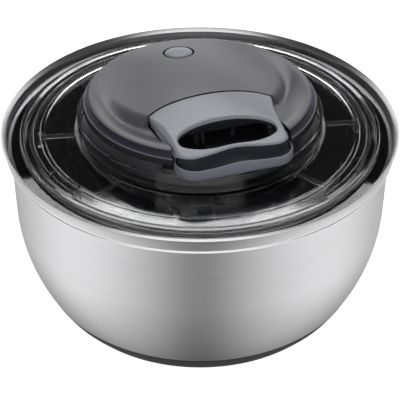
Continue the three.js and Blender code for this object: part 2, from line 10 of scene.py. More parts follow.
import bmesh
import bpy
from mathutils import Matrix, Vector


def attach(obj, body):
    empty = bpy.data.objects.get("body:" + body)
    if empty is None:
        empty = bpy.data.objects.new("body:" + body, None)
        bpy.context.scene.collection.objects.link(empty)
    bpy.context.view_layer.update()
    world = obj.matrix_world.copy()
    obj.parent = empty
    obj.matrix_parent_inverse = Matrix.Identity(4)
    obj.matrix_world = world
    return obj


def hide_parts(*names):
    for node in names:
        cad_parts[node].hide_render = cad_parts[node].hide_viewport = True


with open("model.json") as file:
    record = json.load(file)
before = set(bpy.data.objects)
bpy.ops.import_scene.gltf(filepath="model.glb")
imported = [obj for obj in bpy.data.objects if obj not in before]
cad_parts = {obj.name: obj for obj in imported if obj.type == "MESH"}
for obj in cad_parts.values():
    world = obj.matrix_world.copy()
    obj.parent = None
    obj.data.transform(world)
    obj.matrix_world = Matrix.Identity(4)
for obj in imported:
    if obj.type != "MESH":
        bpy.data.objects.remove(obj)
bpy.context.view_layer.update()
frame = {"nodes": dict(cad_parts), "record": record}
NODES = frame["nodes"]

MM = 0.001
TAU = 2 * math.pi

# ---- dimensions shared with the CAD, in millimetres ----
COVER_TOP = 156.0
RIDGE_R = 70.0
DOME_DROP = 6.5
SIDE_DROP = 6
LEVER_REAR_HALF = 41
LEVER_FRONT_HALF = 36
WAIST_S, WAIST_LENGTH = 66, 45.6
REAR_S, REAR_BEND = 15.4, 6.4
BAR_FRONT_S, BAR_HOLLOW = 71.7, 2.6
BUTTON_Y = 47.0
BUTTON_R = 9.5
BUTTON_HOLE_R = 10.7
HINGE_Y = -33.0
HINGE_Z = 149.2
RIBS = 8
RIB_TURN = math.radians(-13 - 90)


def clamp(v):
    return min(max(v, 0.0), 1.0)


def smooth(t):
    t = clamp(t)
    return t * t * (3 - 2 * t)


def lerp(a, b, t):
    return a + (b - a) * t


# ---- surfaces of the cover and lever ----
def dome(x, y):
    """Height of the cap and of the lever's top, which is one surface with it."""
    q = (x * x + y * y) / RIDGE_R**2
    return COVER_TOP - DOME_DROP * q - SIDE_DROP * (x / LEVER_REAR_HALF) ** 2 * max(0.0, 1 - q)


def lever_half(s):
    """Half the lever's width, waisted towards the front."""
    flare = LEVER_REAR_HALF - LEVER_FRONT_HALF
    return LEVER_FRONT_HALF + flare * clamp((WAIST_S - s) / WAIST_LENGTH) ** 1.6


def rear_edge(x):
    """Where the lever's rear edge runs, in front of the axis."""
    return REAR_S + REAR_BEND * (abs(x) / LEVER_REAR_HALF) ** 5


def bar_front(x):
    """Where the finger bar ends in front, with its hollow in the middle."""
    return BAR_FRONT_S - BAR_HOLLOW * math.exp(-((x / 13) ** 2))


VALLEY_DEPTH = 6.4
VALLEY_TO_RIDGE = 17
VALLEY_REAR = 34
CREASE_TURN = 20


def cover_height(x, y):
    """The cap: the dome, with a valley on each side of the lever that dies out at the ridge."""
    s = -y
    if s > CREASE_TURN:
        crease = lever_half(s) - 6
    else:
        crease = LEVER_REAR_HALF + 17 * (1 - math.exp((s - CREASE_TURN) / 22))
    blend = 6.6 + 10 * smooth((22 - s) / 30)
    side = smooth((abs(x) - crease) / blend) * smooth((s + VALLEY_REAR) / VALLEY_REAR)
    inside = smooth((RIDGE_R - math.hypot(x, y)) / VALLEY_TO_RIDGE)
    return dome(x, y) - VALLEY_DEPTH * side * inside


# ---- materials ----
NOISE_LOW, NOISE_HIGH = 0.3, 0.7
TONE = 0.06
ROUGH_SPREAD = 0.03
GRAIN_DEPTH, BRUSH_DEPTH = 0.00006, 0.00005
ACRYLIC_IOR = 1.49


def shader_of(mat):
    return mat.node_tree.nodes["Principled BSDF"]


def new_material(name):
    mat = bpy.data.materials.new(name)
    mat.use_nodes = True
    tree = mat.node_tree
    return mat, tree, shader_of(mat)


def noise(tree, scale, stretch=(1, 1, 1), detail=3.0):
    coord = tree.nodes.new("ShaderNodeTexCoord")
    mapping = tree.nodes.new("ShaderNodeMapping")
    mapping.inputs["Scale"].default_value = stretch
    tex = tree.nodes.new("ShaderNodeTexNoise")
    tex.inputs["Scale"].default_value = scale
    tex.inputs["Detail"].default_value = detail
    tree.links.new(coord.outputs["Object"], mapping.inputs["Vector"])
    tree.links.new(mapping.outputs["Vector"], tex.inputs["Vector"])
    return tex


def ramp(tree, source, low, high):
    node = tree.nodes.new("ShaderNodeValToRGB")
    node.color_ramp.elements[0].position = NOISE_LOW
    node.color_ramp.elements[1].position = NOISE_HIGH
    node.color_ramp.elements[0].color = (*low, 1)
    node.color_ramp.elements[1].color = (*high, 1)
    tree.links.new(source.outputs["Fac"], node.inputs["Fac"])
    return node


def spread(tree, source, low, high):
    node = tree.nodes.new("ShaderNodeMapRange")
    node.inputs["From Min"].default_value = NOISE_LOW
    node.inputs["From Max"].default_value = NOISE_HIGH
    node.inputs["To Min"].default_value = low
    node.inputs["To Max"].default_value = high
    tree.links.new(source.outputs["Fac"], node.inputs["Value"])
    return node


def bump(tree, shader, source, strength, distance):
    node = tree.nodes.new("ShaderNodeBump")
    node.inputs["Strength"].default_value = strength
    node.inputs["Distance"].default_value = distance
    tree.links.new(source.outputs["Fac"], node.inputs["Height"])
    tree.links.new(node.outputs["Normal"], shader.inputs["Normal"])


def plastic(name, color, rough, grain=0.12):
    mat, tree, shader = new_material(name)
    cloud = noise(tree, 60)
    fine = noise(tree, 2600, detail=2)
    low = [c * (1 - TONE) for c in color]
    high = [c * (1 + TONE) for c in color]
    tree.links.new(ramp(tree, cloud, low, high).outputs["Color"], shader.inputs["Base Color"])
    tree.links.new(
        spread(tree, cloud, rough - ROUGH_SPREAD, rough + ROUGH_SPREAD).outputs["Result"],
        shader.inputs["Roughness"],
    )
    bump(tree, shader, fine, grain, GRAIN_DEPTH)
    return mat


def clear_plastic(name, tint, rough=0.02):
    mat, tree, shader = new_material(name)
    cloud = noise(tree, 40)
    low = [c * 0.97 for c in tint]
    tree.links.new(ramp(tree, cloud, low, tint).outputs["Color"], shader.inputs["Base Color"])
    tree.links.new(
        spread(tree, cloud, rough, rough + 0.02).outputs["Result"], shader.inputs["Roughness"]
    )
    shader.inputs["Transmission Weight"].default_value = 1.0
    shader.inputs["IOR"].default_value = ACRYLIC_IOR
    return mat


def brushed(name, color, rough, aniso, stretch, strength):
    """Metal with fine lines running round the axis."""
    mat, tree, shader = new_material(name)
    lines = noise(tree, 1.0, stretch, detail=4)
    broad = noise(tree, 9)
    low = [c * 0.9 for c in color]
    tree.links.new(ramp(tree, lines, low, color).outputs["Color"], shader.inputs["Base Color"])
    tree.links.new(
        spread(tree, broad, rough - ROUGH_SPREAD, rough + ROUGH_SPREAD).outputs["Result"],
        shader.inputs["Roughness"],
    )
    bump(tree, shader, lines, strength, BRUSH_DEPTH)
    shader.inputs["Metallic"].default_value = 1.0
    shader.inputs["Anisotropic"].default_value = aniso
    tangent = tree.nodes.new("ShaderNodeTangent")
    tangent.direction_type = "RADIAL"
    tangent.axis = "Z"
    tree.links.new(tangent.outputs["Tangent"], shader.inputs["Tangent"])
    return mat


BRUSH_LINES = (18, 18, 1500)
STEEL = brushed("brushed_steel", (0.60, 0.592, 0.603), 0.33, 0.75, BRUSH_LINES, 0.35)
# Lighter copy of the steel for the rim's inner flare and top: a painted reflection of the bright room.
RIM_LIT_STEEL = brushed("rim_steel_painted_reflection", (0.80, 0.79, 0.80), 0.3, 0.2, BRUSH_LINES, 0.2)
# Near-white steel for thin lines on the rim and the collar's lower edge: painted highlights.
HIGHLIGHT_STEEL = brushed("steel_painted_highlight", (0.9, 0.9, 0.9), 0.42, 0.0, BRUSH_LINES, 0.2)
PIN_STEEL = brushed("bright_steel", (0.55, 0.55, 0.56), 0.25, 0.2, (500, 500, 900), 0.15)
RUBBER = plastic("foot_rubber", (0.012, 0.012, 0.014), 0.75, grain=0.3)
NYLON = plastic("black_nylon", (0.03, 0.03, 0.034), 0.45)
BASKET = plastic("basket_plastic", (0.022, 0.023, 0.026), 0.42)
CLEAR = clear_plastic("clear_plastic", (0.95, 0.95, 0.96))
CLEAR_DISC = clear_plastic("clear_disc_plastic", (0.90, 0.90, 0.91))
FROSTED = clear_plastic("frosted_rib_plastic", (0.95, 0.95, 0.96), 0.2)
shader_of(FROSTED).inputs["Transmission Weight"].default_value = 0.75
DARK = plastic("dark_plastic", (0.014, 0.014, 0.017), 0.4)
COVER = plastic("cover_plastic", (0.115, 0.114, 0.128), 0.38, grain=0.2)
# Painted shade: near-black copies of the cap plastic for its shoulder beyond the ridge, and for its
# skirt, cut edges and gaps.
COVER_SHOULDER_SHADE = plastic("cover_shoulder_painted_shade", (0.03, 0.028, 0.042), 0.28, grain=0.2)
COVER_SKIRT_SHADE = plastic("cover_skirt_painted_shade", (0.02, 0.019, 0.026), 0.25)
# Their specular is turned down so the painted shade stays dark under any light.
for shaded, level in ((COVER_SHOULDER_SHADE, 0.1), (COVER_SKIRT_SHADE, 0.08)):
    shader_of(shaded).inputs["Specular IOR Level"].default_value = level
LEVER = plastic("lever_plastic", (0.27, 0.281, 0.32), 0.32, grain=0.2)
# A darker copy of the lever plastic for the sill and nose: painted shade.
LEVER_SHADED = plastic("lever_plastic_painted_shade", (0.17, 0.175, 0.215), 0.42, grain=0.2)
BUTTON = plastic("button_plastic", (0.25, 0.262, 0.3), 0.38, grain=0.2)
# Near-black lining with its specular turned down: painted shade on the finger opening's inner wall and
# on the wall behind it. It also colours the scoop under the finger bar.
DARK_LINING_AND_SHADE = plastic("dark_lining_and_painted_shade", (0.016, 0.017, 0.023), 0.6)
shader_of(DARK_LINING_AND_SHADE).inputs["Specular IOR Level"].default_value = 0.25


# ---- mesh helpers ----
MERGE = 0.5e-6
FILLET = 0.4
LEAST_TURN, ARC_TURN = math.radians(4), math.radians(18)


def make_piece(name, verts, faces, mats, face_mats=None, angle=38):
    mesh = bpy.data.meshes.new(name)
    mesh.from_pydata([(x * MM, y * MM, z * MM) for x, y, z in verts], [], faces)
    for mat in mats if isinstance(mats, (list, tuple)) else [mats]:
        mesh.materials.append(mat)
    if face_mats:
        mesh.polygons.foreach_set("material_index", face_mats)
    work = bmesh.new()
    work.from_mesh(mesh)
    bmesh.ops.remove_doubles(work, verts=work.verts, dist=MERGE)
    bmesh.ops.dissolve_degenerate(work, edges=work.edges, dist=MERGE)
    bmesh.ops.recalc_face_normals(work, faces=work.faces)
    work.to_mesh(mesh)
    work.free()
    shade(mesh, angle)
    obj = bpy.data.objects.new(name, mesh)
    bpy.context.scene.collection.objects.link(obj)
    return obj


def shade(mesh, angle):
    mesh.polygons.foreach_set("use_smooth", [True] * len(mesh.polygons))
    mesh.set_sharp_from_angle(angle=math.radians(angle))
    mesh.update()


def add_bevel(obj, width, segments=2, angle=38):
    mod = obj.modifiers.new("soft_edges", "BEVEL")
    mod.width = width * MM
    mod.segments = segments
    mod.limit_method = "ANGLE"
    mod.angle_limit = math.radians(angle)
    mod.use_clamp_overlap = True


def add_weighted(obj):
    mod = obj.modifiers.new("even_normals", "WEIGHTED_NORMAL")
    mod.keep_sharp = True
    mod.weight = 60


def place(obj, body, slot, *replaced):
    """Rides the piece on a body and hides the CAD nodes it stands in for. slot is not used."""
    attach(obj, body)
    if replaced:
        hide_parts(*replaced)
    return obj


def rounded(points, default):
    """The profile with each corner turned into an arc. A point is (r, z) or (r, z, radius)."""
    closed = points[0][0] > 0
    out = []
    count = len(points)
    for i, point in enumerate(points):
        r, z = point[:2]
        radius = point[2] if len(point) > 2 else default
        here = Vector((r, z))
        if not closed and i in (0, count - 1) or radius <= 0:
            out.append((r, z))
            continue
        before = Vector(points[i - 1][:2]) - here
        after = Vector(points[(i + 1) % count][:2]) - here
        a, b = before.normalized(), after.normalized()
        turn = math.pi - a.angle(b)
        if turn < LEAST_TURN:
            out.append((r, z))
            continue
        reach = min(radius * math.tan(turn / 2), before.length * 0.48, after.length * 0.48)
        steps = max(2, math.ceil(turn / ARC_TURN), min(9, int(reach)))
        for k in range(steps + 1):
            t = k / steps
            p = here + a * reach * (1 - t) ** 2 + b * reach * t**2
            out.append((p.x, p.y))
    return out


def lathe(name, points, mats, segments=160, mat_of=None):
    """Turns a profile about the axis. mat_of gives the material between two of its points."""
    profile = rounded(points, FILLET)
    closed = points[0][0] > 0
    verts, rings = [], []
    for r, z in profile:
        if r < 1e-6:
            rings.append([len(verts)])
            verts.append((0, 0, z))
        else:
            rings.append(list(range(len(verts), len(verts) + segments)))
            verts += [
                (r * math.cos(TAU * k / segments), r * math.sin(TAU * k / segments), z)
                for k in range(segments)
            ]
    faces, face_mats = [], []
    pairs = list(zip(rings, rings[1:])) + ([(rings[-1], rings[0])] if closed else [])
    for i, (lower, upper) in enumerate(pairs):
        index = mat_of(profile[i], profile[(i + 1) % len(profile)]) if mat_of else 0
        for k in range(segments):
            n = (k + 1) % segments
            if len(lower) == 1:
                faces.append((lower[0], upper[k], upper[n]))
            elif len(upper) == 1:
                faces.append((lower[k], lower[n], upper[0]))
            else:
                faces.append((lower[k], lower[n], upper[n], upper[k]))
            face_mats.append(index)
    return make_piece(name, verts, faces, mats, face_mats)


def box_shell(x0, x1, y0, y1, z0, z1, turn=0.0):
    """Corners and faces of a box turned about the axis."""
    c, s = math.cos(turn), math.sin(turn)
    corners = [(x, y, z) for z in (z0, z1) for x, y in ((x0, y0), (x1, y0), (x1, y1), (x0, y1))]
    verts = [(x * c - y * s, x * s + y * c, z) for x, y, z in corners]
    faces = [(3, 2, 1, 0), (4, 5, 6, 7), (0, 1, 5, 4), (1, 2, 6, 5), (2, 3, 7, 6), (3, 0, 4, 7)]
    return verts, faces


def box_set(name, shells, mats):
    verts, faces = [], []
    for v, f in shells:
        base = len(verts)
        verts += v
        faces += [tuple(base + i for i in face) for face in f]
    return make_piece(name, verts, faces, mats)


def join(obj, tool):
    """Unites obj with tool, which keeps its material, and removes tool."""
    mod = obj.modifiers.new("join", "BOOLEAN")
    mod.operation = "UNION"
    mod.solver = "EXACT"
    mod.material_mode = "TRANSFER"
    mod.object = tool
    graph = bpy.context.evaluated_depsgraph_get()
    mesh = bpy.data.meshes.new_from_object(obj.evaluated_get(graph))
    obj.modifiers.clear()
    obj.data = mesh
    bpy.data.objects.remove(tool)
    shade(mesh, 38)


# ---- bowl, base ring ----
# Zones 1 and 2 carry painted light: a lighter rim flare and highlight lines.
BRUSHED_ZONE, RIM_LIGHT_ZONE, HIGHLIGHT_ZONE = 0, 1, 2
RIM_EDGE_Z, RIM_EDGE_R = 126.3, 128.9
COLLAR_TOP_Z, RIM_SIDE_R = 121.5, 129.2
BEAD_LOW_Z, BEAD_HIGH_Z, BEAD_FROM_R = 115.7, 118.3, 126.8
WALL_R = 124.7
WALL_STEPS = 30
CURVE_Z, CURVE_DROP, CURVE_IN = 72, 56.6, 13.7
BOWL_SHEET = 1.02


def bowl_zone(a, b):
    """Lighter steel inside the rim as a painted reflection, and painted highlight lines along the rim
    and the collar's lower edge.
    """
    low, high = min(a[1], b[1]), max(a[1], b[1])
    if low > RIM_EDGE_Z and b[0] > RIM_EDGE_R:
        return HIGHLIGHT_ZONE
    if low > COLLAR_TOP_Z and max(a[0], b[0]) < RIM_SIDE_R:
        return RIM_LIGHT_ZONE
    if BEAD_LOW_Z < low and high < BEAD_HIGH_Z and b[0] > BEAD_FROM_R:
        return HIGHLIGHT_ZONE
    return BRUSHED_ZONE


def bowl_wall(inset, z0, z1):
    """The bowl's side from z0 to z1, straight above CURVE_Z and curving in below it."""
    wall = []
    for k in range(WALL_STEPS + 1):
        z = lerp(z0, z1, k / WALL_STEPS)
        curve = CURVE_IN * clamp((CURVE_Z - z) / CURVE_DROP) ** 2.03
        wall.append((WALL_R - curve - inset, z, 0))
    return wall


bowl = lathe(
    "bowl_shell",
    [(0, 1.8), (92, 1.8, 2), (98.5, 4, 4), (108.2, 14.9, 0.5)]
    + bowl_wall(0, 15.6, 115.0)
    + [
        (WALL_R, 115.6, 0.5), (127.6, 115.9, 0.4), (128.0, 116.6, 0.5), (127.3, 117.6, 0.6),
        (127.8, 121.5, 6), (128.3, 124.3, 0.8), (129.5, 126.1, 0.3), (130, 126.6, 0.3),
        (129.3, 127.55, 0.4), (128.95, 127.98, 0.2), (126.95, 125.1, 0.8), (126.85, 121.6, 2),
        (126.7, 118.8, 0.6), (123.7, 117.7, 0.8),
    ]
    + bowl_wall(BOWL_SHEET, 117.0, 17.4)
    + [(107.2, 15.6, 0.8), (97.8, 5, 4), (91.8, 2.8, 2), (0, 2.8)],
    [STEEL, RIM_LIT_STEEL, HIGHLIGHT_STEEL],
    segments=256,
    mat_of=bowl_zone,
)
place(bowl, "bowl", "bowl_steel", "bowl")

ring = lathe(
    "base_ring_foot",
    [
        (90, 0), (101, 0, 1.2), (106.6, 7, 12), (111, 15, 0.6), (108.6, 14.7, 0.3), (98.9, 3.6, 3),
        (92.2, 1.4, 1), (90, 1.4),
    ],
    RUBBER,
    segments=192,
)
place(ring, "bowl", "foot_rubber", "base_ring")


# ---- basket ----
SLOT_CENTRES = 48
FLOOR_ROWS, WALL_ROWS = (0, 1), (8, 9, 11, 12)
FLOOR_EVERY, WALL_EVERY = 4, 3
FLOOR_SLOT_HALF, WALL_SLOT_HALF = 2.5, 3.0
HUB_R, FLOOR_R, HUB_PAIR_R = 8, 40, 60


def basket_mesh():
    """A revolved wall with slots left open: columns pair up round the slot centres."""
    outer = [
        (40, 8.5), (64, 8.5), (88, 8.5), (94, 8.6), (97.2, 9.6), (99.4, 11.5), (100.6, 14),
        (101.2, 18), (102, 26), (103.6, 43), (105.3, 60), (106, 67), (107.7, 84), (109.4, 101),
        (110.2, 110), (110.6, 114.4), (111.2, 115), (113, 115.3), (113.1, 116.4), (112.8, 117.5),
        (110.8, 117.7),
    ]
    inner = [
        (40, 10.5), (64, 10.5), (88, 10.5), (93.4, 10.6), (95.6, 11.3), (97.4, 12.9), (98.5, 15),
        (99.1, 18), (99.9, 26), (101.5, 43), (103.2, 60), (103.9, 67), (105.6, 84), (107.3, 101),
        (108.1, 108), (108.4, 111), (108.5, 113), (108.6, 115), (108.7, 116.4), (108.9, 117.3),
        (109.6, 117.7),
    ]
    rows = len(outer)
    cols = 2 * SLOT_CENTRES

    def angle(col, r, row):
        centre, side = divmod(col, 2)
        half = FLOOR_SLOT_HALF if row < 3 else WALL_SLOT_HALF
        shift = math.asin(half / r)
        return TAU * centre / SLOT_CENTRES + (shift if side else -shift)

    def open_cell(row, col):
        centre, side = divmod(col, 2)
        if side:
            return False
        if row in FLOOR_ROWS:
            return centre % FLOOR_EVERY == 0
        return centre % WALL_EVERY == 0 and row in WALL_ROWS

    verts = []
    for profile in (outer, inner):
        for row, (r, z) in enumerate(profile):
            for col in range(cols):
                a = angle(col, r, row)
                verts.append((r * math.cos(a), r * math.sin(a), z))

    def vid(layer, row, col):
        return layer * rows * cols + row * cols + col % cols

    faces = []
    for row in range(rows - 1):
        for col in range(cols):
            if open_cell(row, col):
                continue
            for layer in (0, 1):
                quad = [(row, col), (row, col + 1), (row + 1, col + 1), (row + 1, col)]
                faces.append(tuple(vid(layer, *q) for q in (quad if layer else quad[::-1])))
            for dr, dc, e in (
                (-1, 0, ((row, col), (row, col + 1))),
                (1, 0, ((row + 1, col + 1), (row + 1, col))),
                (0, -1, ((row + 1, col), (row, col))),
                (0, 1, ((row, col + 1), (row + 1, col + 1))),
            ):
                r2, c2 = row + dr, (col + dc) % cols
                inside = 0 <= r2 < rows - 1
                if inside and not open_cell(r2, c2) or r2 < 0:
                    continue
                (ra, ca), (rb, cb) = e
                faces.append((vid(0, ra, ca), vid(0, rb, cb), vid(1, rb, cb), vid(1, ra, ca)))
    hub_under = [(12.6, 8.5), (11, 7.3), (8.6, 7.2), (8.4, 8), (8.4, 16.5)]
    hub_over = [(14.2, 10.5), (13, 11.2), (12, 16.8), (10.9, 18.5)]
    for layer, hub, centre_z in ((0, hub_under, 16.5), (1, hub_over, 18.5)):
        last = [vid(layer, 0, c) for c in range(cols)]
        for r, z in hub:
            ring_ids = list(range(len(verts), len(verts) + cols))
            for col in range(cols):
                even = TAU * (col - 0.5) / cols
                a = lerp(even, angle(col, HUB_PAIR_R, 0), clamp((r - HUB_R) / (FLOOR_R - HUB_R)))
                verts.append((r * math.cos(a), r * math.sin(a), z))
            for c in range(cols):
                n = (c + 1) % cols
                quad = (last[c], last[n], ring_ids[n], ring_ids[c])
                faces.append(quad if layer == 0 else quad[::-1])
            last = ring_ids
        tip = len(verts)
        verts.append((0, 0, centre_z))
        for c in range(cols):
            n = (c + 1) % cols
            faces.append((last[c], last[n], tip) if layer == 0 else (last[n], last[c], tip))
    for i in range(RIBS):
        a = RIB_TURN + TAU * (i + 0.5) / RIBS
        v, f = box_shell(103, 109, -1.2, 1.2, 107, 116.6, a)
        base = len(verts)
        verts += v
        faces += [tuple(base + k for k in face) for face in f]
    return verts, faces


basket = make_piece("basket_body", *basket_mesh(), BASKET, angle=30)
add_bevel(basket, 0.35, 2, 40)
add_weighted(basket)
place(basket, "basket", "basket_plastic", "basket")

# ---- lid and drive disc ----
lid = lathe(
    "lid_clear",
    [
        (70.2, 122.4, 0.2), (115.8, 122.4, 0.3), (115.8, 119.3, 0.4), (125.8, 119.3, 0.5),
        (125.8, 120.6, 0.5), (118, 120.9, 0.4), (118, 124.4, 0.5), (117.2, 125, 0.5),
        (115, 125, 0.5), (112.6, 124.4, 0.6), (109.6, 124.4, 0.3), (109.2, 124.0, 0.3),
        (105, 124.0, 0.3), (104.6, 124.4, 0.3), (102.6, 124.4, 0.4), (101.6, 124, 0.4),
        (82.6, 124, 1.6), (80.4, 125.6, 0.8), (80.3, 136, 0.7), (78.5, 136, 0.7),
        (78.5, 124, 0.3), (70.2, 124, 0.2),
    ],
    CLEAR,
    segments=256,
)
add_weighted(lid)
place(lid, "lid", "clear_plastic", "lid")

disc = lathe(
    "drive_disc_clear",
    [
        (4.2, 103.6, 0.2), (9, 103.6, 0.4), (10.4, 106, 0.8), (70.4, 106, 1.2), (73, 108, 1.2),
        (73, 119, 0.6), (111.5, 119, 0.4), (111.5, 121, 0.5), (71.2, 121, 0.5),
        (71.2, 108.6, 0.8), (69.8, 107.7, 0.8), (4.2, 107.7, 0.2),
    ],
    CLEAR_DISC,
    segments=192,
)
turns = [RIB_TURN + TAU * i / RIBS for i in range(RIBS)]
disc_ribs = [box_shell(72.4, 107, -0.7, 0.7, 116.2, 119.6, a) for a in turns]
disc_lugs = [box_shell(103.4, 107.2, -3.4, 3.4, 111, 119.5, a) for a in turns]
join(disc, box_set("disc_ribs", disc_ribs, FROSTED))
join(disc, box_set("disc_lugs", disc_lugs, FROSTED))
add_weighted(disc)
place(disc, "rotor", "clear_plastic", "drive_disc")

# ---- housing cover ----
def rim_curve():
    """Rim profile from the ridge down: a round shoulder, a bright ledge, a lower skirt darkened with
    painted shade.
    """
    points = []
    a, b, c, d = (70, 149.5), (72.3, 149.07), (74.1, 147.7), (74.35, 145.5)
    for k in range(11):
        t = k / 10
        w = ((1 - t) ** 3, 3 * t * (1 - t) ** 2, 3 * t * t * (1 - t), t**3)
        points.append(tuple(sum(wi * p[i] for wi, p in zip(w, (a, b, c, d))) for i in (0, 1)))
    points += [(74.45, 145.15), (74.7, 145.0), (75.2, 144.92), (75.5, 144.75), (75.62, 144.4)]
    points += [(75.75, 143.2), (75.9, 142.0), (76.0, 141.2), (75.95, 140.75), (75.7, 140.6)]
    return points


RIM = rim_curve()
RIM_R = 75.95
SHOULDER_FROM, LEDGE_FROM, SKIRT_FROM = 2, 10, 13
# Zones 1 and 2 are painted shade: on the skirt below the ledge and on the shoulder.
COVER_ZONE, SKIRT_SHADE_ZONE, SHOULDER_SHADE_ZONE = 0, 1, 2


def rim_at(start_r, count):
    """count points of the rim from where it has radius start_r, with their place in the curve."""
    first = 0.0
    for i in range(len(RIM) - 1):
        if RIM[i][0] <= start_r <= RIM[i + 1][0] + 1e-9:
            first = i + (start_r - RIM[i][0]) / max(RIM[i + 1][0] - RIM[i][0], 1e-9)
            break
    else:
        first = len(RIM) - 1 if start_r > RIM[0][0] else 0.0
    out = []
    for k in range(count):
        f = max(first, k)
        i = min(int(f), len(RIM) - 2)
        t = f - i
        out.append((lerp(RIM[i][0], RIM[i + 1][0], t), lerp(RIM[i][1], RIM[i + 1][1], t)))
    return out


WELL_GAP = 1.25
WELL_FRONT_S, WELL_REAR_S = 60.0, 23.4
WELL_CORNER = ((41.95, 21.2), 40.3)
CORNER_FROM, CORNER_TURN = math.radians(72), math.radians(9)
SEARCH_STEP = 0.05


def well_side(s):
    """The well's side wall, a gap outside the lever."""
    return lever_half(s) + 1 + 1.3 * smooth((s - 58) / 4)


def well_rows():
    """Rows of the cover's right half from the front tip to the crest: (x, s, rim angle)."""
    rows = []
    tip = WELL_FRONT_S
    while math.hypot(well_side(tip), tip) < RIM_R:
        tip += SEARCH_STEP
    edge = 50.0
    while math.hypot(well_side(edge), edge) < RIDGE_R:
        edge += SEARCH_STEP
    for k in range(7):
        s = lerp(tip, edge, k / 7)
        rows.append((well_side(s), s, math.atan2(well_side(s), s)))
    start = math.atan2(well_side(edge), edge)
    for k in range(25):
        s = lerp(edge, WELL_REAR_S, k / 24)
        rows.append((well_side(s), s, lerp(start, CORNER_FROM, (k / 24) ** 1.1)))
    a = (well_side(WELL_REAR_S), WELL_REAR_S)
    b, rear_x = WELL_CORNER
    c = (rear_x, rear_edge(rear_x) - WELL_GAP)
    for k in range(1, 5):
        t = k / 4
        x = a[0] * (1 - t) ** 2 + 2 * b[0] * t * (1 - t) + c[0] * t * t
        s = a[1] * (1 - t) ** 2 + 2 * b[1] * t * (1 - t) + c[1] * t * t
        rows.append((x, s, CORNER_FROM + CORNER_TURN * t))
    start = CORNER_FROM + CORNER_TURN
    for k in range(1, 33):
        t = k / 32
        x = rear_x * (1 - t)
        rows.append((x, rear_edge(x) - WELL_GAP, lerp(start, math.pi, t**0.95)))
    return rows


DOME_COLS = 46


def cover_grid():
    """Vertices in rows round the well, each running from the well's edge down to the rim."""
    half = well_rows()
    rows = [(x, s, a) for x, s, a in half] + [(-x, s, TAU - a) for x, s, a in half[-2::-1]]
    cols = DOME_COLS + len(RIM) - 1
    verts = []
    for x, s, a in rows:
        r = math.hypot(x, s)
        end = (RIDGE_R * math.sin(a), RIDGE_R * math.cos(a))
        for j in range(DOME_COLS):
            if r >= RIDGE_R - 1e-6:
                px, ps = x, s
                pz = rim_at(r, 1)[0][1]
            else:
                t = (j / DOME_COLS) ** 0.95
                px, ps = lerp(x, end[0], t), lerp(s, end[1], t)
                pz = cover_height(px, -ps)
            verts.append((px, -ps, pz))
        for rr, z in rim_at(r, len(RIM))[1:]:
            if r >= RIDGE_R - 1e-6 and rr <= r + 1e-6:
                verts.append((x, -s, z if rr >= r - 1e-6 else rim_at(r, 1)[0][1]))
            else:
                verts.append((rr * math.sin(a), -rr * math.cos(a), z))
    return verts, len(rows), cols


def cover_zone(column):
    """Material of a column of faces: the cap, its shoulder darkened with painted shade, the skirt below
    the ledge with darker painted shade.
    """
    if column >= DOME_COLS + SKIRT_FROM:
        return SKIRT_SHADE_ZONE
    if DOME_COLS + SHOULDER_FROM <= column < DOME_COLS + LEDGE_FROM:
        return SHOULDER_SHADE_ZONE
    return COVER_ZONE


PATCH_ROWS, PATCH_COLS = 6, (26, 40)
PATCH_RINGS = 7


def cover_mesh():
    """The grid, with a patch behind the well swapped for rings round the button's hole."""
    verts, n_rows, cols = cover_grid()
    crest = (n_rows - 1) // 2
    r0, r1 = crest - PATCH_ROWS, crest + PATCH_ROWS
    j0, j1 = PATCH_COLS
    faces, mats = [], []
    for i in range(n_rows - 1):
        for j in range(cols - 1):
            if r0 <= i < r1 and j0 <= j < j1:
                continue
            a, b = i * cols + j, (i + 1) * cols + j
            faces.append((a, b, b + 1, a + 1))
            mats.append(cover_zone(j))
    border = [(i, j0) for i in range(r0, r1)] + [(r1, j) for j in range(j0, j1)]
    border += [(i, j1) for i in range(r1, r0, -1)] + [(r0, j) for j in range(j1, j0, -1)]
    last = [i * cols + j for i, j in border]
    count = len(last)
    outline = [verts[k] for k in last]
    for m in range(1, PATCH_RINGS + 1):
        t = 1 - m / PATCH_RINGS
        ids = []
        for x, y, _ in outline:
            a = math.atan2(y - BUTTON_Y, x)
            cx, cy = BUTTON_HOLE_R * math.cos(a), BUTTON_Y + BUTTON_HOLE_R * math.sin(a)
            px, py = lerp(cx, x, t**1.2), lerp(cy, y, t**1.2)
            ids.append(len(verts))
            verts.append((px, py, cover_height(px, py)))
        for k in range(count):
            n = (k + 1) % count
            faces.append((last[k], last[n], ids[n], ids[k]))
            mats.append(COVER_ZONE)
        last = ids
    return verts, faces, mats


SKIRT_EDGE_Z = 141


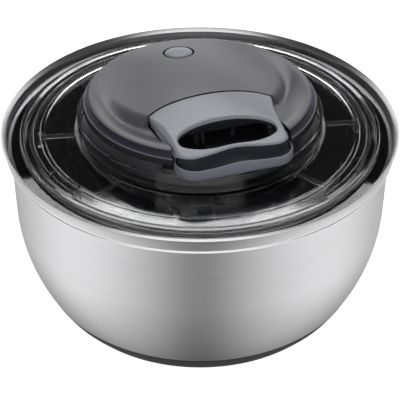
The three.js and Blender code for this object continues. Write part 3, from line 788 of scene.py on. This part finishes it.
def thicken(verts, faces, mats, thickness, edge_mat):
    """Closes an open skin with an inner one. Edges above the skirt's own are squared off."""
    welded, index, points = {}, [], []
    for v in verts:
        key = tuple(round(c, 3) for c in v)
        if key not in welded:
            welded[key] = len(points)
            points.append(Vector(v))
        index.append(welded[key])
    skin, skin_mats = [], []
    for face, mat in zip(faces, mats):
        ring = [index[k] for k in face]
        ring = [k for i, k in enumerate(ring) if k != ring[i - 1]]
        if len(ring) > 2:
            skin.append(ring)
            skin_mats.append(mat)
    normals = [Vector() for _ in points]
    used = {}
    for ring in skin:
        a, b, c = points[ring[0]], points[ring[1]], points[ring[2]]
        d = points[ring[-1]]
        n = (c - a).cross(d - b) if len(ring) > 3 else (b - a).cross(c - a)
        for i, k in enumerate(ring):
            normals[k] += n
            used[(k, ring[(i + 1) % len(ring)])] = True
    up = 1 if sum(n.z for n in normals) > 0 else -1
    cut = {}
    for a, b in used:
        if (b, a) not in used:
            cut.setdefault(a, []).append(b)
            cut.setdefault(b, []).append(a)
    inner = []
    for k, p in enumerate(points):
        n = (normals[k] * up).normalized()
        if k in cut and p.z > SKIRT_EDGE_Z:
            near = [points[m] for m in cut[k]]
            along = near[-1] - near[0] if len(near) > 1 else near[0] - p
            wall = Vector((along.y, -along.x, 0))
            if wall.length > 1e-6:
                wall.normalize()
                n = (n - wall * n.dot(wall)).normalized()
        inner.append(p - n * thickness)
    base = len(points)
    out = [tuple(ring) for ring in skin] + [tuple(base + k for k in ring[::-1]) for ring in skin]
    out_mats = skin_mats + skin_mats
    for a, b in used:
        if (b, a) not in used:
            out.append((b, a, base + a, base + b))
            out_mats.append(edge_mat)
    return [tuple(p) for p in points + inner], out, out_mats


COVER_THICKNESS = 1.8
# The cut edges round the well and the button hole, and the skirt's foot, take the skirt's painted
# shade.
cover_verts, cover_faces, cover_mats = thicken(*cover_mesh(), COVER_THICKNESS, SKIRT_SHADE_ZONE)
cover_looks = [COVER, COVER_SKIRT_SHADE, COVER_SHOULDER_SHADE]
cover = make_piece("cover_shell", cover_verts, cover_faces, cover_looks, cover_mats, angle=60)
add_bevel(cover, 0.35, 3, 50)
place(cover, "lid", "cover_plastic", "housing_cover")


# ---- lever ----
def bezier(a, b, c, count):
    """Points between a and c on the curve drawn towards b."""
    out = []
    for k in range(1, count):
        t = k / count
        out.append(tuple(a[i] * (1 - t) ** 2 + 2 * b[i] * t * (1 - t) + c[i] * t * t for i in (0, 1)))
    return out


REAR_X = 39.6
SIDE_FROM, SIDE_TO = 23.8, 62
BAR_X, NOSE_S = 25, 63


def lever_path():
    """Right half of the lever's outline, rear middle to front middle: (x, s, zone place)."""
    pts = []
    for k in range(30):
        x = REAR_X * math.sin(math.pi / 2 * k / 29)
        pts.append((x, rear_edge(x), "rear"))
    a = (REAR_X, rear_edge(REAR_X))
    c = (lever_half(SIDE_FROM), SIDE_FROM)
    pts += [(x, s, "corner") for x, s in bezier(a, (40.85, 21.6), c, 6)]
    for k in range(28):
        s = lerp(SIDE_FROM, SIDE_TO, k / 27)
        pts.append((lever_half(s), s, "side"))
    for k in range(1, 15):
        a = math.pi / 2 * k / 15
        reach = bar_front(BAR_X) - NOSE_S
        pts.append((BAR_X + 11 * math.cos(a), NOSE_S + reach * math.sin(a), "nose"))
    for k in range(21):
        x = BAR_X * (1 - k / 20)
        pts.append((x, bar_front(x), "front"))
    return pts


LEVER_MIDDLE_S = 50


def mirror_path(half):
    """The closed outline of which half is the right side."""
    return half + [(-p[0], *p[1:]) for p in half[-2:0:-1]]


def outward(points):
    """Unit normals in plan of a closed path, pointing away from the lever's middle."""
    out = []
    n = len(points)
    for i in range(n):
        ax, ay = points[i - 1][:2]
        bx, by = points[(i + 1) % n][:2]
        dx, dy = bx - ax, by - ay
        size = math.hypot(dx, dy) or 1.0
        nx, ny = dy / size, -dx / size
        px, py = points[i][0], points[i][1] - LEVER_MIDDLE_S
        if nx * px + ny * py < 0:
            nx, ny = -nx, -ny
        out.append((nx, ny))
    return out


OVAL_S, OVAL_HALF_X, OVAL_HALF_S = 55.0, 31.3, 12.6
HALVINGS = 40


def oval_field(x, ds):
    """Below 0 inside the finger opening, above 0 outside it. ds is measured from its centre."""
    dip = 1.4 * math.exp(-((x / 11) ** 2)) if ds > 0 else 0.0
    return (abs(x) / OVAL_HALF_X) ** 2.5 + (max(abs(ds) + dip, 0) / OVAL_HALF_S) ** 2.35 - 1


def oval_hit(x, s):
    """The oval's edge in the direction of (x, s) from its centre, and the outward normal there."""
    dx, ds = x, s - OVAL_S
    size = math.hypot(dx, ds)
    ux, us = dx / size, ds / size
    lo, hi = 0.5, 45.0
    for _ in range(HALVINGS):
        mid = (lo + hi) / 2
        if oval_field(ux * mid, us * mid) > 0:
            hi = mid
        else:
            lo = mid
    x, ds = ux * lo, us * lo
    e = 0.02
    gx = oval_field(x + e, ds) - oval_field(x - e, ds)
    gs = oval_field(x, ds + e) - oval_field(x, ds - e)
    g = math.hypot(gx, gs)
    return (x, OVAL_S + ds), (gx / g, gs / g)


SILL_Z = 145.2
SKIN = 1.7
ROUND_SHARE = 0.85


def lever_section(x, s, zone, normal):
    """One section of the lever's shell, as a closed loop of points from the oval to the rim."""
    (vx, vs), (mx, ms) = oval_hit(x, s)
    nx, ns = normal
    room = math.hypot(x - vx, s - vs)
    front = smooth((s - 58) / 8)
    rear = smooth((26 - s) / 5) if zone in ("rear", "corner") else 0.0
    edge_r = {"corner": 0.9, "front": 0.9}.get(zone)
    if zone == "side":
        edge_r = lerp(1.0, 3.6, smooth((s - 23) / 12))
        edge_r = lerp(edge_r, 2.8, smooth((s - 54) / 8))
    if zone == "nose":
        edge_r = lerp(2.8, 0.9, smooth((s - 62) / 9))
    if zone == "rear":
        edge_r = lerp(0.5, 0.9, smooth((abs(x) - 34) / 6))
    oval_r = lerp(1.9, 1.1, front)
    total = edge_r + oval_r
    if total > room * ROUND_SHARE:
        edge_r *= room * ROUND_SHARE / total
        oval_r *= room * ROUND_SHARE / total
    skin = min(SKIN, room * 0.4)
    loop = []

    def top(px, ps):
        return dome(px, -ps)

    def add(px, ps, z):
        loop.append((px, -ps, z))

    deep = lerp(4.2, 3.4, front)
    add(vx, vs, top(vx, vs) - deep)
    add(vx, vs, top(vx, vs) - (deep + oval_r) / 2)
    for k in range(7):
        a = math.pi / 2 * k / 6
        e = oval_r * (1 - math.cos(a))
        px, ps = vx + mx * e, vs + ms * e
        add(px, ps, top(px, ps) - oval_r * (1 - math.sin(a)))
    ax, as_ = vx + mx * oval_r, vs + ms * oval_r
    bx, bs = x - nx * edge_r, s - ns * edge_r
    for k in range(1, 12):
        t = k / 12
        px, ps = lerp(ax, bx, t), lerp(as_, bs, t)
        add(px, ps, top(px, ps))
    for k in range(7):
        a = math.pi / 2 * k / 6
        e = edge_r * (1 - math.sin(a))
        px, ps = x - nx * e, s - ns * e
        add(px, ps, top(px, ps) - edge_r * (1 - math.cos(a)))
    here = top(x, s)
    if zone in ("rear", "corner"):
        low = lerp(SILL_Z, here - 2.1, rear)
    elif zone == "side":
        low = lerp(here - 3.2, SILL_Z, smooth((s - 20) / 7))
    else:
        low = lerp(SILL_Z, here - 1.0, smooth((s - 62) / 7))
    flare = 0.9 * smooth((s - 26) / 12) * (1 - smooth((s - 60) / 8))
    under = here - edge_r
    add(x + nx * flare * 0.4, s + ns * flare * 0.4, lerp(under, low, 0.4))
    add(x + nx * flare * 0.85, s + ns * flare * 0.85, lerp(under, low, 0.8))
    add(x + nx * flare, s + ns * flare, low)
    add(x - nx * skin * 0.5, s - ns * skin * 0.5, low)
    add(x - nx * skin, s - ns * skin, low)
    inner = edge_r * 0.5 + skin
    hx, hs = x - nx * skin, s - ns * skin
    roof = min(top(hx, hs) - 1.7, here - edge_r * 0.6 - 1.2)
    add(hx, hs, max(low + 0.05, roof - 0.8))
    reach = min(inner + 1.2, room * 0.5)
    px, ps = x - nx * reach, s - ns * reach
    add(px, ps, max(low + 0.1, top(px, ps) - 1.8))
    reach = min(oval_r + 1.4, room * 0.45)
    px, ps = vx + mx * reach, vs + ms * reach
    add(px, ps, top(px, ps) - 1.8 - 0.4 * (1 - front))
    px, ps = vx + mx * skin * 0.8, vs + ms * skin * 0.8
    add(px, ps, top(px, ps) - deep * 0.75)
    add(px, ps, top(px, ps) - deep)
    return loop


def sweep(sections, closed_path=True):
    """Faces between closed sections, with the ends capped when the path is open."""
    verts = [p for loop in sections for p in loop]
    size = len(sections[0])
    count = len(sections)
    faces = []
    for i in range(count if closed_path else count - 1):
        n = (i + 1) % count
        for k in range(size):
            m = (k + 1) % size
            faces.append((i * size + k, n * size + k, n * size + m, i * size + m))
    if not closed_path:
        faces.append(tuple(range(size))[::-1])
        faces.append(tuple((count - 1) * size + k for k in range(size)))
    return verts, faces


path = mirror_path(lever_path())
normals = outward(path)
sections = [lever_section(x, s, zone, n) for (x, s, zone), n in zip(path, normals)]
# The inner wall of the finger opening takes the near-black lining: painted shade.
OVAL_SHADE_TO, OVAL_SHADE_FROM = 2, len(sections[0]) - 2
LEVER_ANGLE = 48
lever_verts, lever_faces = sweep(sections)
lever_mats = [
    int(k < OVAL_SHADE_TO or k >= OVAL_SHADE_FROM) for _ in sections for k in range(len(sections[0]))
]
lever_obj = make_piece(
    "lever_shell", lever_verts, lever_faces, [LEVER, DARK_LINING_AND_SHADE], lever_mats, angle=LEVER_ANGLE
)
place(lever_obj, "lever", "lever_plastic", "lever")


# ---- lever base: sill, nose and dark scoop ----
SILL_X, SILL_END_S = 36.9, 62
LIP_X, LIP_S, LIP_FRONT = 24, 66.5, 80.4


def base_path():
    """Right half of the sill and nose, rear to front middle: outer point, bar point, zone 0 to 1."""
    pts = []
    for k in range(36):
        s = lerp(24.0, SILL_END_S, k / 35)
        blend = smooth((s - 56) / 8)
        x = lerp(lever_half(s) - 0.3, SILL_X, blend)
        pts.append(((x, s), (lever_half(s) - 1.2, s), smooth((s - 54) / 12)))
    for k in range(1, 5):
        t = k / 5
        s = lerp(SILL_END_S, LIP_S, t)
        outer = (lerp(SILL_X, 38, smooth(t)), s)
        bar = (LEVER_FRONT_HALF - 1.0, lerp(SILL_END_S, NOSE_S, t))
        pts.append((outer, bar, smooth((s - 54) / 12)))
    for k in range(20):
        a = math.pi / 2 * k / 19
        outer = (LIP_X + 14 * math.cos(a), LIP_S + 13.9 * math.sin(a))
        reach = bar_front(BAR_X) - (NOSE_S + 1)
        bar = (BAR_X + 10.0 * math.cos(a), NOSE_S + reach * math.sin(a))
        pts.append((outer, bar, 1.0))
    for k in range(1, 22):
        t = k / 21
        bx = BAR_X * (1 - t)
        pts.append(((LIP_X * (1 - t), LIP_FRONT), (bx, bar_front(bx) - 1.0), 1.0))
    return pts


def base_section(outer, bar, nose):
    """One section of the base as a closed loop, from its lower edge up and in under the bar."""
    x, s = outer
    bx, bs = bar
    dx, ds = x - bx, s - bs
    size = math.hypot(dx, ds) or 1.0
    ux, us = dx / size, ds / size
    middle = math.exp(-((x / 12) ** 2)) if s > 70 else 0.0
    bottom = lerp(143.2, 137.0, nose)
    top = lerp(144.9, 142.9 + 1.7 * middle, nose)
    high = lerp(top - 0.1, dome(bx, -bs) - 0.75, nose)
    lip = lerp(0.6, 1.1, nose)
    slope = 0.7 * nose
    loop = []

    def add(e, z):
        loop.append((x - ux * e, -(s - us * e), z))

    add(0.9, bottom)
    add(0.25, bottom + 0.15)
    add(0.0, bottom + lerp(0.4, 0.9, nose))
    add(slope * 0.5, lerp(bottom, top, 0.5))
    add(slope, top - lerp(0.35, 0.6, nose))
    add(slope + 0.15, top - 0.12)
    add(slope + 0.45, top)
    add(slope + 0.45 + lip * 0.6, top - 0.05)
    reach = size
    start = slope + 0.5 + lip
    for k in range(1, 8):
        t = k / 8
        e = lerp(start, reach, 1 - (1 - t) ** 1.6)
        drop = -1.6 * nose * math.sin(math.pi * min(1.0, t * 1.6)) if t < 0.62 else 0.0
        z = lerp(top - 0.15, high, t**2.6) + drop * (1 - t)
        add(e, z)
    add(reach, high)
    add(reach + 1.6, high)
    add(reach + lerp(3.2, 1.9, nose), lerp(bottom + 0.6, high - 1.0, nose))
    add(reach + lerp(3.2, 1.9, nose), bottom)
    return loop


half = base_path()
full = half + [((-o[0], o[1]), (-b[0], b[1]), n) for o, b, n in half[-2::-1]]
base_sections = [base_section(*p) for p in full]
base_verts, base_faces = sweep(base_sections, closed_path=False)
size = len(base_sections[0])
# Faces of the scoop under the finger bar are coloured near-black.
SCOOP_DARK_FROM, SCOOP_DARK_TO = 7, 15
SCOOP_DARK_NOSE = 0.55
base_mats = [
    int(SCOOP_DARK_FROM <= k <= SCOOP_DARK_TO and nose > SCOOP_DARK_NOSE) for _, _, nose in full[:-1] for k in range(size)
]
base_mats += [0, 0]
# The sill and nose take the darker painted-shade copy of the lever plastic.
base = make_piece(
    "lever_nose", base_verts, base_faces, [LEVER_SHADED, DARK_LINING_AND_SHADE], base_mats, angle=LEVER_ANGLE
)
place(base, "lever", "lever_plastic", "lever_base")


BACK_HALF, BACK_LOW_Z = 35.5, 143.6


def back_wall():
    """The wall behind the finger opening, its top following the lever's skin."""
    verts, faces = [], []
    steps = 16
    for i in range(steps + 1):
        x = lerp(-BACK_HALF, BACK_HALF, i / steps)
        for y in (HINGE_Y - 7.4, HINGE_Y - 5.8):
            verts += [(x, y, BACK_LOW_Z), (x, y, dome(x, y) - 1.9)]
    for i in range(steps):
        a, b = 4 * i, 4 * i + 4
        for p, q in ((0, 1), (1, 3), (3, 2), (2, 0)):
            faces.append((a + p, a + q, b + q, b + p))
    end = 4 * steps
    faces += [(0, 2, 3, 1), (end, end + 1, end + 3, end + 2)]
    return verts, faces


LUG_X, LUG_TOP_Z = 6.8, 152.0


def lug_set():
    """The wall and the two lugs that carry the hinge pin."""
    shells = [back_wall()]
    for x in (-LUG_X, LUG_X):
        shells.append(
            box_shell(x - 1.4, x + 1.4, HINGE_Y - 6, HINGE_Y + 2.9, HINGE_Z - 2.9, LUG_TOP_Z)
        )
    return shells


# The wall behind the finger opening and the lugs take the near-black lining, which is painted shade
# where it is seen through the opening.
lugs = box_set("lever_back_wall", lug_set(), DARK_LINING_AND_SHADE)
add_bevel(lugs, 0.4, 2)
place(lugs, "lever", "lever_plastic")


# ---- stop button ----
def button_mesh():
    """A crowned disc that follows the dome, with a flat flange below the cap."""
    rows = [
        (0.0, 1.75), (2.5, 1.66), (5, 1.38), (7, 0.98), (8.1, 0.66), (8.7, 0.42), (9.1, 0.14),
        (9.38, -0.25), (BUTTON_R, -0.8), (BUTTON_R, -2.2),
    ]
    flange = [
        (BUTTON_R, 148.1), (9.7, 147.8), (11.0, 147.8), (11.2, 147.6), (11.2, 146.6), (11.0, 146.4),
    ]
    segments = 64
    verts, rings = [], []
    for r, h in rows:
        if r == 0:
            rings.append([0])
            verts.append((0, BUTTON_Y, dome(0, BUTTON_Y) + h))
            continue
        rings.append(list(range(len(verts), len(verts) + segments)))
        for k in range(segments):
            a = TAU * k / segments
            x, y = r * math.cos(a), BUTTON_Y + r * math.sin(a)
            verts.append((x, y, dome(x, y) + h))
    for r, z in flange:
        rings.append(list(range(len(verts), len(verts) + segments)))
        verts += [
            (r * math.cos(TAU * k / segments), BUTTON_Y + r * math.sin(TAU * k / segments), z)
            for k in range(segments)
        ]
    rings.append([len(verts)])
    verts.append((0, BUTTON_Y, flange[-1][1]))
    faces = []
    for lower, upper in zip(rings, rings[1:]):
        for k in range(segments):
            n = (k + 1) % segments
            if len(lower) == 1:
                faces.append((lower[0], upper[k], upper[n]))
            elif len(upper) == 1:
                faces.append((lower[n], lower[k], upper[0]))
            else:
                faces.append((lower[k], upper[k], upper[n], lower[n]))
    return verts, faces


button = make_piece("stop_button_cap", *button_mesh(), BUTTON)
place(button, "stop_button", "lever_plastic", "stop_button")

# ---- CAD nodes that stay in view ----
WELD = 0.00001
LOOK_OF = {
    "foot_rubber": RUBBER, "small_steel": PIN_STEEL, "nylon": NYLON, "dark_plastic": DARK,
    "lever_plastic": LEVER, "cover_plastic": COVER, "clear_plastic": CLEAR, "basket_plastic": BASKET,
    "bowl_steel": STEEL,
}
for part in frame["record"]["subparts"]:
    obj = NODES[part["node"]]
    if obj.hide_render:
        continue
    obj.data.materials.clear()
    obj.data.materials.append(LOOK_OF[part["material_slot"]])
    if obj.data.attributes.get("custom_normal"):
        obj.data.attributes.remove(obj.data.attributes["custom_normal"])
    weld = obj.modifiers.new("weld", "WELD")
    weld.merge_threshold = WELD
    shade(obj.data, 32)
    add_bevel(obj, 0.12, 1, 35)

# ---- floor, light, camera ----
FLOOR_HALF = 6.0
FLOOR_GLOW = 0.93
floor_mat, floor_tree, floor_shader = new_material("pale_floor")
floor_tone = noise(floor_tree, 3)
floor_tree.links.new(
    ramp(floor_tree, floor_tone, (0.6, 0.6, 0.605), (0.62, 0.62, 0.62)).outputs["Color"],
    floor_shader.inputs["Base Color"],
)
floor_shader.inputs["Roughness"].default_value = 0.6
floor_shader.inputs["Emission Color"].default_value = (1, 1, 1, 1)
floor_shader.inputs["Emission Strength"].default_value = FLOOR_GLOW
floor_mesh = bpy.data.meshes.new("floor")
floor_corners = [(x * FLOOR_HALF, y * FLOOR_HALF, 0) for x, y in ((-1, -1), (1, -1), (1, 1), (-1, 1))]
floor_mesh.from_pydata(floor_corners, [], [(0, 1, 2, 3)])
floor_mesh.materials.append(floor_mat)
floor = bpy.data.objects.new("floor", floor_mesh)
bpy.context.scene.collection.objects.link(floor)
floor.visible_glossy = False
floor.visible_diffuse = False
floor.visible_shadow = False

CAMERA_AT = Vector((-0.2009, -0.6182, 0.534))
CAMERA_AIM = Vector((0, 0, 0.0618))
VIEW_AZ = math.radians(-18)
LENS, SENSOR = 104.6, 36

# Brightness of the studio's cards by direction, each as (place from 0 to 1, share).
SIDE_CARD = [(0, 0.0), (0.1, 0.1), (0.24, 0.35), (0.5, 0.7), (0.78, 1.0), (1, 1.0)]
BEHIND = [(0, 0.35), (0.3, 0.6), (0.5, 1.0), (1, 1.0)]
LOW = [(0, 0.95), (0.3, 1.0), (0.42, 1.0), (0.5, 0.25), (0.56, 0.0), (1, 0.0)]
HORIZON = [(0, 0.0), (0.48, 0.0), (0.53, 1.0), (0.62, 1.0), (0.68, 0.15), (0.72, 0.0), (1, 0.0)]
HORIZON_ROUND = [(0, 1.0), (0.25, 0.4), (0.5, 0.06), (0.75, 0.15), (0.9, 0.8), (1, 1.0)]
CARD_STRENGTH = 1.42
HORIZON_STRENGTH = 1.9
ROOM = 0.025


def studio_world():
    """White to look at. As light, a dark room with a broad white card left and right."""
    world = bpy.data.worlds.new("studio")
    bpy.context.scene.world = world
    world.use_nodes = True
    tree = world.node_tree
    link = tree.links.new
    background = tree.nodes["Background"]
    coord = tree.nodes.new("ShaderNodeTexCoord")

    def along(axis):
        node = tree.nodes.new("ShaderNodeVectorMath")
        node.operation = "DOT_PRODUCT"
        node.inputs[1].default_value = axis
        link(coord.outputs["Generated"], node.inputs[0])
        return node.outputs["Value"]

    def math_node(operation, a, b=None):
        node = tree.nodes.new("ShaderNodeMath")
        node.operation = operation
        for i, value in enumerate((a, b)):
            if value is None:
                continue
            if isinstance(value, (int, float)):
                node.inputs[i].default_value = value
            else:
                link(value, node.inputs[i])
        return node.outputs["Value"]

    def stops(source, points):
        node = tree.nodes.new("ShaderNodeFloatCurve")
        curve = node.mapping.curves[0]
        while len(curve.points) < len(points):
            curve.points.new(0.5, 0.5)
        for point, (x, y) in zip(curve.points, points):
            point.location = (x, y)
            point.handle_type = "AUTO_CLAMPED"
        node.mapping.update()
        link(source, node.inputs["Value"])
        return node.outputs["Value"]

    right = (math.cos(VIEW_AZ), math.sin(VIEW_AZ), 0)
    front = (math.sin(VIEW_AZ), -math.cos(VIEW_AZ), 0)
    sideways = math_node("ABSOLUTE", along(right))
    forward = math_node("MULTIPLY_ADD", along(front), 0.5)
    forward.node.inputs[2].default_value = 0.5
    height = math_node("MULTIPLY_ADD", along((0, 0, 1)), 0.5)
    height.node.inputs[2].default_value = 0.5
    card = math_node("MULTIPLY", stops(sideways, SIDE_CARD), stops(forward, BEHIND))
    glow = math_node("MULTIPLY", card, stops(height, LOW))
    glow = math_node("MULTIPLY_ADD", glow, CARD_STRENGTH)
    glow.node.inputs[2].default_value = ROOM
    band = math_node("MULTIPLY", stops(height, HORIZON), stops(forward, HORIZON_ROUND))
    band = math_node("MULTIPLY", band, HORIZON_STRENGTH)
    glow = math_node("ADD", glow, band)
    path = tree.nodes.new("ShaderNodeLightPath")
    seen = math_node("MAXIMUM", path.outputs["Is Camera Ray"], glow)
    link(seen, background.inputs["Strength"])
    background.inputs["Color"].default_value = (1, 1, 1, 1)


studio_world()

LIGHT_AIM_Z = 0.08
LIGHT_DISTANCE = 1.5


def softbox(name, azimuth, elevation, width, height, power):
    """A rectangular light. Its azimuth, seen from the part, is counted from the camera's own."""
    a = VIEW_AZ + math.radians(azimuth)
    e = math.radians(elevation)
    light = bpy.data.lights.new(name, "AREA")
    light.shape = "RECTANGLE"
    light.size = width
    light.size_y = height
    light.energy = power
    obj = bpy.data.objects.new(name, light)
    at = Vector((math.sin(a) * math.cos(e), -math.cos(a) * math.cos(e), math.sin(e))) * LIGHT_DISTANCE
    obj.location = at + Vector((0, 0, LIGHT_AIM_Z))
    obj.rotation_mode = "QUATERNION"
    obj.rotation_quaternion = (-at).to_track_quat("-Z", "Y")
    bpy.context.scene.collection.objects.link(obj)


softbox("top_box", azimuth=180, elevation=76, width=1.6, height=1.0, power=7.8)
softbox("back_box", azimuth=178, elevation=49, width=1.0, height=0.5, power=6.4)
softbox("front_box", azimuth=0, elevation=38, width=1.9, height=0.6, power=4.9)

camera_data = bpy.data.cameras.new("photo_camera")
camera_data.lens = LENS
camera_data.sensor_width = SENSOR
camera = bpy.data.objects.new("photo_camera", camera_data)
camera.location = CAMERA_AT
camera.rotation_mode = "QUATERNION"
camera.rotation_quaternion = (CAMERA_AIM - CAMERA_AT).to_track_quat("-Z", "Y")
bpy.context.scene.collection.objects.link(camera)
bpy.context.scene.camera = camera
bpy.context.scene.view_settings.view_transform = "Standard"
